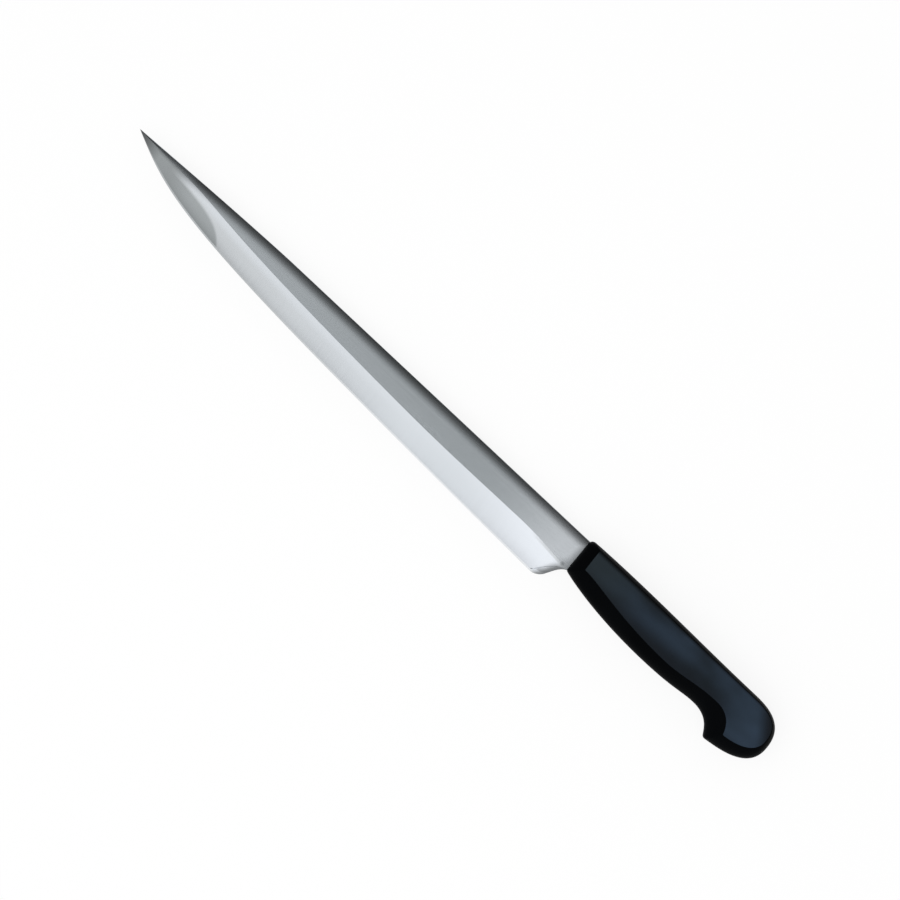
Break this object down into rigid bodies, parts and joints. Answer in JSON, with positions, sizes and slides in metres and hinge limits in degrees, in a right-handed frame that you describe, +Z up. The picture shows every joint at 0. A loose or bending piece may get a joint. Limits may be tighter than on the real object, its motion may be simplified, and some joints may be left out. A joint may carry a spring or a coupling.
{
  "type": "fillet knife",
  "caption": "Long slicing and fillet knife: slim hollow-ground steel blade with a straight spine and a heel, its tang locked inside a moulded black plastic handle with a hooked butt.",
  "frame": {"origin": "middle of the knife's length and width, on the plane that it lies on", "axes": "+X from the tip to the butt, +Y towards the spine, +Z up through the side that the picture shows"},
  "size_m": [0.4318, 0.0342, 0.018],
  "materials": {
    "blade": "satin flats over a ground hollow",
    "handle": "fine matt moulded grain"
  },
  "bodies": {
    "root": {"blade": "blade", "handle": "handle"}
  },
  "joints": []
}
